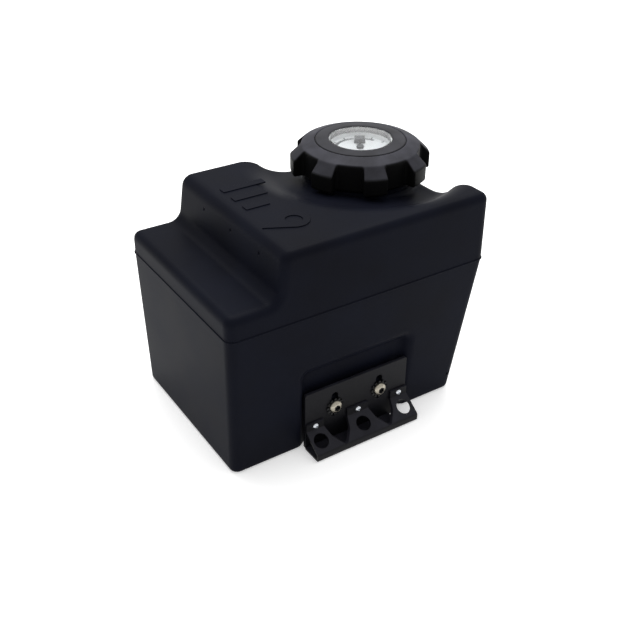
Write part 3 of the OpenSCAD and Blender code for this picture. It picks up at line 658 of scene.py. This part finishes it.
def repeated(obj, tree, count, finish, gap=0.0):
    modifier = obj.modifiers.new("repeat", "NODES")
    modifier.node_group = tree
    values = {"Count": count, "Gap": gap * mm, "Finish": finish}
    for item in tree.interface.items_tree:
        if item.in_out == "INPUT" and item.name in values:
            modifier[item.identifier] = values[item.name]
    applied(obj)
    work = bmesh.new()
    work.from_mesh(obj.data)
    name = obj.name
    bpy.data.objects.remove(obj)
    return settle(name, work, finish)


repeatRow = repeatTree("repeatInARow", False)
repeatRound = repeatTree("repeatRoundTheAxis", True)


cap = dict(
    centre=(73, 28), radius=62, bottom=188, top=216, lobes=8, fluteAngle=25.5, fluteFloor=52.5,
    fluteCorner=2.5, edge=1.1, cell=0.8,
    outline=[(42.8, 188), (61, 188), (62, 189), (62, 202), (61.2, 203.4), (52.5, 211.5), (41.2, 215.6), (40.2, 215.0),
             (40.2, 212.5), (31.5, 212.5), (31.5, 209.5), (28, 209.5), (28, 205.5), (26, 205.5), (26, 204),
             (2.05, 204), (2.05, 201), (32, 201), (32, 207.5), (42.8, 207.5)],
    corners=[0.5, 0.3, 0.5, 0.8, 0.8, 5, 0.5, 0.3] + [0.2] * 12,
    threadPitch=6, threadDepth=2.2, threadStart=194, threadTurns=1,
)


def capField(p, c, outline):
    radius = np.hypot(p[0], p[1])
    half = math.radians(c["fluteAngle"] / 2)
    side = np.abs(p[1]) * math.cos(half) - p[0] * math.sin(half)
    flute = roundMax(side, c["fluteFloor"] - radius, c["fluteCorner"])
    return roundMax(outlineDistance(outline, radius, p[2]), -flute, c["edge"])


def buildCap(c):
    # half of one flute with its half lobe is meshed, mirrored, and repeated round the axis
    turn = math.pi / c["lobes"]
    outline = roundCorners(c["outline"], c["corners"])
    reach = c["radius"] + 2
    points, quads = meshField(lambda p: capField(p, c, outline), (0.5, -2, c["bottom"] - 2),
                              (reach, reach * math.sin(turn) + 2, c["top"] + 2), c["cell"])
    work = bmesh.new()
    corners = [work.verts.new(v) for v in points * mm]
    for quad in quads:
        work.faces.new([corners[i] for i in quad])
    for normal in ((0, -1, 0), (-math.sin(turn), math.cos(turn), 0)):
        geometry = work.verts[:] + work.edges[:] + work.faces[:]
        bmesh.ops.bisect_plane(work, geom=geometry, dist=1e-7, plane_co=(0, 0, 0), plane_no=normal, clear_outer=True)
    bmesh.ops.mirror(work, geom=work.verts[:] + work.edges[:] + work.faces[:], axis="Y", merge_dist=2e-6)
    body = repeated(settle("capBody", work, capNylon), repeatRound, c["lobes"], capNylon)
    body.data.transform(Matrix.Translation((c["centre"][0] * mm, c["centre"][1] * mm, 0)))
    rideFor(body, "cap", "cap_nylon", "cap_body")
    thread = threadRidge("capThread", c["centre"], 43.2, 43.2 - c["threadDepth"] - 0.2, c, capNylon)
    rideFor(thread, "cap", "cap_nylon")


def threadRidge(name, centre, root, crest, c, material):
    work = bmesh.new()
    rings = []
    steps = int(48 * c["threadTurns"])
    for k in range(steps + 1):
        a = 2 * math.pi * k / 48
        lift = c["threadStart"] + c["threadPitch"] * k / 48
        rings.append([work.verts.new(((centre[0] + r * math.cos(a)) * mm, (centre[1] + r * math.sin(a)) * mm, (lift + z) * mm))
                      for r, z in ((root, -1.3), (crest, -0.6), (crest, 0.6), (root, 1.3))])
    for here, there in zip(rings, rings[1:]):
        for i in range(4):
            work.faces.new((here[i], there[i], there[(i + 1) % 4], here[(i + 1) % 4]))
    work.faces.new(rings[0])
    work.faces.new(rings[-1])
    return settle(name, work, material)


buildCap(cap)
print("cap repeated from one flute")

gauge = dict(
    centre=(73, 28), steps=160,
    bezel=[(28, 212.5), (40, 212.5), (40, 215), (39.2, 215.8), (29.5, 216.6), (28, 216.2)],
    bezelCorners=[0.2, 0.2, 0.3, 0.5, 0.9, 0.3],
    lensFlange=31.3, lensWall=27.8, lensBase=210.5, lensLedge=212.5, lensEdge=216.0, lensRise=2.7, lensThickness=1.5,
    dial=[(3, 205.5), (27.8, 205.5), (27.8, 210.3), (26.6, 210.3), (26.2, 207), (25.6, 206.5), (3, 206.5)],
    pointerDirection=57, hubRadius=3.4, hubHeight=2.2, bladeLength=10, paddle=(9, 10, 4), pointerBase=206.8,
)


def lensOutline(g):
    # flange, wall and shallow dome, all one clear moulding
    wall, rise, t = g["lensWall"], g["lensRise"], g["lensThickness"]
    dome = (wall ** 2 + rise ** 2) / (2 * rise)
    middle = g["lensEdge"] + rise - dome
    inner = wall - t
    over = [(wall * k / 12, middle + math.sqrt(dome ** 2 - (wall * k / 12) ** 2)) for k in range(13)]
    under = [(inner * k / 12, middle + math.sqrt((dome - t) ** 2 - (inner * k / 12) ** 2)) for k in range(13)]
    return over + [(wall, g["lensLedge"]), (g["lensFlange"], g["lensLedge"]), (g["lensFlange"], g["lensBase"]),
                   (inner, g["lensBase"])] + under[::-1]


def buildGauge(g):
    bezel = turned("capBezel", roundCorners(g["bezel"], g["bezelCorners"]), g["steps"], bezelNylon, g["centre"])
    rideFor(bezel, "cap", "cap_nylon", "cap_bezel")
    lens = turned("gaugeLens", lensOutline(g), g["steps"], lensPolycarbonate, g["centre"], sharp=50)
    rideFor(lens, "cap", "lens_clear", "gauge_lens")
    dial = turned("gaugeDial", roundCorners(g["dial"], 0.3, 2), g["steps"], dialStyrene, g["centre"])
    rideFor(dial, "cap", "dial_white", "gauge_dial")
    hub = turned("gaugePointer", roundCorners([(0, 0.3), (g["hubRadius"], 0.3), (g["hubRadius"] - 0.6, g["hubHeight"]),
                                               (0, g["hubHeight"])], [0, 0.2, 0.6, 0]), 48, pointerAcetal)
    long, wide, high = g["paddle"]
    start = g["bladeLength"] - 1
    blade = [(0, -1.6, 1), (start + 1, -1, 1), (start + 1, 1, 1), (0, 1.6, 1)]
    paddle = [(start, -wide / 2, high), (start + long, -wide / 2, high), (start + long, wide / 2, high), (start, wide / 2, high)]
    work = bmesh.new()
    work.from_mesh(hub.data)
    for outline, draw in ((blade, 0), (paddle, 0.5)):
        low = [work.verts.new((x * mm, y * mm, 0.02 * mm)) for x, y, z in outline]
        x0 = sum(v[0] for v in outline) / 4
        shrink = 1 - draw / wide * 2
        top = [work.verts.new(((x0 + (x - x0) * shrink) * mm, y * shrink * mm, z * mm)) for x, y, z in outline]
        made = [work.faces.new(low), work.faces.new(top)]
        made += [work.faces.new((low[i], low[(i + 1) % 4], top[(i + 1) % 4], top[i])) for i in range(4)]
    bpy.data.objects.remove(hub)
    pointer = softenEdges(settle("gaugePointer", work, pointerAcetal), 0.25)
    place = Matrix.Translation((g["centre"][0] * mm, g["centre"][1] * mm, g["pointerBase"] * mm))
    pointer.data.transform(place @ Matrix.Rotation(math.radians(g["pointerDirection"]), 4, "Z"))
    rideFor(pointer, "spindle", "pointer_grey", "gauge_pointer")


buildGauge(gauge)
print("gauge window, dial and pointer made")


bracket = dict(
    centreX=-3, width=105, bottom=0.5, height=56.5, front=-84, back=-81, corner=2, edge=0.35,
    boltGap=46, boltHeight=35, slotLow=24, slotHigh=49, slotWidth=6.6, exitLength=9, exitHeight=8.5,
    hoodFront=-104, sheet=2, lipTop=7.5, slopeTop=20, hoodTop=27, bendRadius=2.6, floorEnd=-84.1,
    scallopWidth=24, scallopTip=3.2, scallopBelly=0.76,
    hoseGap=43.5, hoseRadius=6.75, floorExit=17, floorFlange=10,
)


def buildBracket(b):
    half = b["width"] / 2
    left, right = b["centreX"] - half, b["centreX"] + half
    outline = roundCorners([(left, b["bottom"]), (right - b["exitLength"], b["bottom"]),
                            (right - b["exitLength"], b["bottom"] + b["exitHeight"]), (right, b["bottom"] + b["exitHeight"]),
                            (right, b["bottom"] + b["height"]), (left, b["bottom"] + b["height"])], b["corner"], 6)
    plate = prism("bracketPlate", outline, b["front"], b["back"], "Y", powderCoat)
    cutters = []
    for side in (-1, 1):
        x, r = b["centreX"] + side * b["boltGap"] / 2, b["slotWidth"] / 2
        slot = [(x + r * math.cos(a), z + r * math.sin(a)) for z, first in ((b["slotHigh"] - r, 0), (b["slotLow"] + r, 12))
                for a in (math.pi * k / 12 for k in range(first, first + 13))]
        cutters.append(prism("slotCutter", slot, b["front"] - 2, b["back"] + 2, "Y", powderCoat))
    softenEdges(cutAway(plate, cutters), b["edge"])
    rideFor(plate, "bracket", "powder_coat", "bracket_plate")
    buildHood(b, left, right)


def buildHood(b, left, right):
    t, front, plateY = b["sheet"], b["hoodFront"], b["front"]
    lean = math.atan2(b["slopeTop"] - b["lipTop"], plateY - t - front)
    drop = t / math.cos(lean) - t * math.tan(lean)
    inner = b["bendRadius"] - t
    outline = roundCorners(
        [(plateY, b["hoodTop"]), (plateY - t, b["hoodTop"]), (plateY - t, b["slopeTop"]), (front, b["lipTop"]),
         (front, b["bottom"]), (b["floorEnd"], b["bottom"]), (b["floorEnd"], b["bottom"] + t), (front + t, b["bottom"] + t),
         (front + t, b["lipTop"] - drop), (plateY, b["slopeTop"] - drop)],
        [0, 0, 1.2, b["bendRadius"], 1.6, 0, 0, inner, inner, inner], 5)
    hood = prism("bracketHood", outline, left, right, "X", powderCoat)
    cutters = []
    for side in (-1, 1):
        x, halfW, tip = b["centreX"] + side * b["boltGap"] / 2, b["scallopWidth"] / 2, b["scallopTip"]
        belly, bellyZ = b["scallopBelly"] * halfW, (b["lipTop"] + b["slopeTop"]) / 2
        # sides run from the fold over the belly and meet the round tip on its tangent
        low = b["lipTop"] + tip
        away = math.hypot(belly, bellyZ - low)
        touch = math.atan2(bellyZ - low, belly) - math.acos(tip / away)
        arc = [(tip * math.cos(a), low + tip * math.sin(a)) for a in
               (touch + (-math.pi - 2 * touch) * k / 12 for k in range(13))]
        shape = [(halfW, b["hoodTop"] + 2), (halfW, b["slopeTop"]), (belly, bellyZ)] + arc + \
                [(-belly, bellyZ), (-halfW, b["slopeTop"]), (-halfW, b["hoodTop"] + 2)]
        cutters.append(prism("scallopCutter", [(x + u, v) for u, v in shape], front - 2, plateY + 2, "Y", powderCoat))
    middle = Vector((0, (plateY - t + front) / 2, (b["slopeTop"] + b["lipTop"]) / 2))
    for k in (-1, 0, 1):
        hole = prism("holeCutter", ringOf(48, b["hoseRadius"]), -8, 8, "Y", powderCoat)
        turn = Matrix.Rotation(lean - math.pi / 2, 4, "X")
        hole.data.transform(Matrix.Translation((middle + Vector((b["centreX"] + k * b["hoseGap"], 0, 0))) * mm) @ turn)
        cutters.append(hole)
    cableExit = [(right - b["floorExit"], -1), (right + 2, -1), (right + 2, b["bottom"] + t + 1), (right - b["floorExit"], b["bottom"] + t + 1)]
    cutters.append(prism("exitCutter", cableExit, front + b["floorFlange"], plateY + 2, "Y", powderCoat))
    softenEdges(cutAway(hood, cutters), b["edge"], angle=42)
    rideFor(hood, "bracket", "powder_coat", "bracket_hood")


buildBracket(bracket)
print("bracket plate and bent hood made")

screws = dict(
    bolt=dict(head=6, height=3.6, shank=2.95, length=12.2, socket=2.8, face=-85.1, height0=35, count=2, gap=46),
    hood=dict(head=2.8, height=1.9, shank=1.5, length=5, socket=1.1, face=-86, height0=23.5, count=3, gap=43.5),
    washer=dict(inner=3, ring=6.7, tooth=8.4, thickness=1, teeth=12, lift=0.45),
)


def buttonScrew(name, s, centreX, material):
    # domed head with a hexagon socket, repeated in a row and pointing into the plate
    dome = [(s["head"] * math.cos(a), s["height"] * (0.16 + 0.84 * math.sin(a))) for a in (math.pi * k / 18 for k in range(7))]
    flat = dome[-1][0]
    outline = [(0, -s["length"]), (s["shank"] - 0.4, -s["length"]), (s["shank"], 0.4 - s["length"]), (s["shank"], 0),
               (s["head"], 0)] + dome + [(flat - 0.5, dome[-1][1] + 0.08), (0, dome[-1][1] + 0.08)]
    screw = turned(name, outline, 64, material)
    depth = s["height"] * 0.62
    socket = prism("socketCutter", ringOf(6, s["socket"]), -s["height"] - 1, -s["height"] + depth, "Y", material)
    socket.data.transform(Matrix.Rotation(-math.pi / 2, 4, "X"))
    cutAway(screw, [socket])
    softenEdges(screw, 0.12 if s["head"] > 4 else 0.06, 1, 50)
    first = centreX - s["gap"] * (s["count"] - 1) / 2
    place = Matrix.Translation((first * mm, s["face"] * mm, s["height0"] * mm))
    screw.data.transform(place @ Matrix.Rotation(math.pi / 2, 4, "X"))
    return repeated(screw, repeatRow, s["count"], material, s["gap"])


def starWasher(w, b, material):
    # one tooth with its share of the ring, bent up at one side
    step = math.pi / w["teeth"]
    ring = [(-step, w["ring"], 0), (-0.62 * step, w["ring"], 0), (-0.5 * step, w["tooth"], 0),
            (0.5 * step, w["tooth"], w["lift"]), (0.62 * step, w["ring"], 0.1), (step, w["ring"], 0)]
    work = bmesh.new()
    def ringPoint(angle, radius, z):
        return work.verts.new((radius * math.cos(angle) * mm, radius * math.sin(angle) * mm, z * mm))
    sheets = []
    for base in (0, w["thickness"]):
        sheets.append(([ringPoint(a, w["inner"], base) for a, r, z in ring], [ringPoint(a, r, base + z) for a, r, z in ring]))
    (lowIn, lowOut), (topIn, topOut) = sheets
    for a, b2 in ((lowIn, lowOut), (lowOut, topOut), (topOut, topIn), (topIn, lowIn)):
        for i in range(len(ring) - 1):
            work.faces.new((a[i], a[i + 1], b2[i + 1], b2[i]))
    washer = repeated(settle("starWashers", work, material), repeatRound, w["teeth"], material)
    place = Matrix.Translation(((b["centreX"] - b["boltGap"] / 2) * mm, (b["front"] - 0.1) * mm, b["boltHeight"] * mm))
    washer.data.transform(place @ Matrix.Rotation(math.pi / 2, 4, "X"))
    return repeated(washer, repeatRow, 2, material, b["boltGap"])


def paintSocketShade(obj, s, centreX, material):
    # painted shade in the sockets: their floors and walls take the dull black finish, standing in for the shadow down
    # in them
    obj.data.materials.append(material)
    mouth = s["face"] - s["height"] + 0.25
    floorY = s["face"] - s["height"] * 0.36
    for face in obj.data.polygons:
        x, y, z = (c / mm for c in face.center)
        offset = min(abs(x - centreX - (k - (s["count"] - 1) / 2) * s["gap"]) for k in range(s["count"]))
        if math.hypot(offset, z - s["height0"]) < s["socket"] and mouth < y < floorY:
            face.material_index = 1


bolts = buttonScrew("bracketBolts", screws["bolt"], bracket["centreX"], stainless)
# the socket floors and walls are painted black as shade
paintSocketShade(bolts, screws["bolt"], bracket["centreX"], washerOxide)
rideFor(bolts, "tank", "stainless", "bracket_bolts")
small = buttonScrew("hoodScrews", screws["hood"], bracket["centreX"], stainlessPolished)
rideFor(small, "bracket", "stainless", "hood_screws")
rideFor(starWasher(screws["washer"], bracket, washerOxide), "tank", "washer_oxide", "star_washers")
print("screws and star washers repeated")


keptFinish = dict(
    filler_neck=tankPolyethylene, cap_seal=nitrile, lens_seal=nitrile, breather_pad=ventFoam, guide_frame=stainless,
    guide_foot=capNylon, gauge_spindle=spindleSteel, gauge_float=floatFoam, float_driver=brassTurned,
    bracket_inserts=brassTurned, port_inserts=brassTurned, port_seals=nitrile, suction_fitting=stainlessTurned,
    return_fitting=stainlessTurned, suction_strainer=stainless,
)
for nodeName, finish in keptFinish.items():
    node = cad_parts[nodeName]
    if not node.material_slots:
        node.data.materials.append(finish)
    for materialSlot in node.material_slots:
        materialSlot.material = finish
print("kept nodes dressed")
